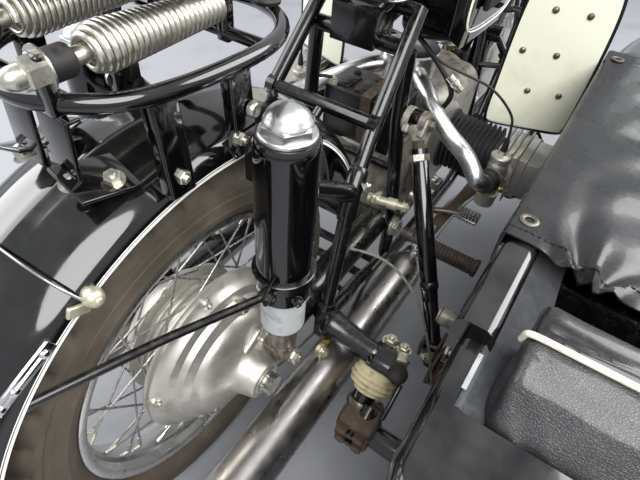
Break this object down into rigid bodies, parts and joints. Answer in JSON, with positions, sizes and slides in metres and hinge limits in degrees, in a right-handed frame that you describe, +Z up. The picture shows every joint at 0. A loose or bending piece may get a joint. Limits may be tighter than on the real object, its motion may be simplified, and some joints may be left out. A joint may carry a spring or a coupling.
{
  "type": "sidecar motorcycle",
  "caption": "Flat-twin motorcycle with leading-link fork, spoked wheels and a single-seat sidecar on its right.",
  "frame": {"origin": "centre of the whole outfit's bounding box, on the ground", "axes": "+X forward, +Y to the rider's left, +Z up; the sidecar is at -Y"},
  "size_m": [2.1804, 1.5629, 0.9698],
  "materials": {
    "black_paint": "deep gloss black enamel with a light haze of dust",
    "cream_paint": "old cream enamel, dimpled at its bolts",
    "cast_alloy": "sand-cast aluminium, dull and slightly stained",
    "polished_alloy": "polished aluminium",
    "zinc_alloy": "grey die-cast zinc",
    "bright_steel": "machined steel",
    "dull_steel": "zinc-plated steel, slightly rusty",
    "cast_iron": "black-painted cast iron fins",
    "chrome": "old chrome plate",
    "saddle_leather": "black rubber saddle cover",
    "seat_leather": "crinkled black leather with pale piping",
    "leathercloth": "black leathercloth, folded",
    "black_rubber_roll": "black covered coaming roll",
    "plywood": "plain plywood",
    "battery_case": "black hard rubber case",
    "rubber": "grooved black rubber",
    "clear_plastic": "clear acrylic sheet",
    "tyre": "brownish black road tyre"
  },
  "bodies": {
    "motorcycle": {"main_frame": "black_paint", "rear_frame": "black_paint", "swing_arm": "black_paint", "final_drive": "cast_alloy", "rear_axle": "bright_steel", "shock_legs": "dull_steel", "shock_covers": "black_paint", "shock_caps": "polished_alloy", "engine_block": "cast_alloy", "cylinders": "cast_iron", "cylinder_heads": "cast_alloy", "carburettors": "zinc_alloy", "air_cleaner": "chrome", "exhausts": "chrome", "fuel_tank": "black_paint", "rider_saddle": "saddle_leather", "saddle_mount": "black_paint", "battery": "battery_case", "rear_mudguard": "black_paint", "guard_stays": "black_paint", "pillion_rack": "black_paint", "pillion_springs": "dull_steel", "pillion_saddle": "saddle_leather", "tail_lamp": "black_paint", "leg_shields": "cream_paint", "shield_stays": "black_paint", "foot_controls": "dull_steel", "footrests": "rubber", "sidecar_chassis": "black_paint", "side_arm": "black_paint", "upper_struts": "black_paint", "lower_joints": "black_paint", "sidecar_body": "black_paint", "sidecar_coaming": "black_rubber_roll", "seat_base": "plywood", "seat_cushion": "seat_leather", "seat_backrest": "seat_leather", "tonneau": "leathercloth", "windscreen": "clear_plastic", "screen_clasps": "chrome", "side_mudguard": "black_paint", "sidecar_lamp": "black_paint"},
    "steering": {"fork": "black_paint", "front_links": "black_paint", "front_axle": "bright_steel", "front_shocks": "black_paint", "front_mudguard": "black_paint", "headlamp": "black_paint", "handlebar": "chrome"},
    "front_wheel": {"front_tyre": "tyre", "front_rim": "polished_alloy", "front_hub": "cast_alloy"},
    "rear_wheel": {"rear_tyre": "tyre", "rear_rim": "polished_alloy", "rear_hub": "cast_alloy"},
    "side_wheel": {"side_tyre": "tyre", "side_rim": "polished_alloy", "side_hub": "cast_alloy"},
    "centre_stand": {"centre_stand": "black_paint"}
  },
  "joints": [
    {"name": "steering_head", "type": "hinge", "parent": "motorcycle", "child": "steering", "pos_m": [0.43967, 0.412, 0.77], "axis": [-0.454, 0, 0.891], "range_deg": [-35, 35]},
    {"name": "front_wheel_spin", "type": "hinge", "parent": "steering", "child": "front_wheel", "pos_m": [0.752, 0.412, 0.326], "axis": [0, 1, 0], "continuous": true},
    {"name": "rear_wheel_spin", "type": "hinge", "parent": "motorcycle", "child": "rear_wheel", "pos_m": [-0.663, 0.412, 0.326], "axis": [0, 1, 0], "continuous": true},
    {"name": "side_wheel_spin", "type": "hinge", "parent": "motorcycle", "child": "side_wheel", "pos_m": [-0.523, -0.708, 0.326], "axis": [0, 1, 0], "continuous": true},
    {"name": "centre_stand_fold", "type": "hinge", "parent": "motorcycle", "child": "centre_stand", "pos_m": [-0.223, 0.412, 0.14], "axis": [0, -1, 0], "range_deg": [0, 75]}
  ]
}
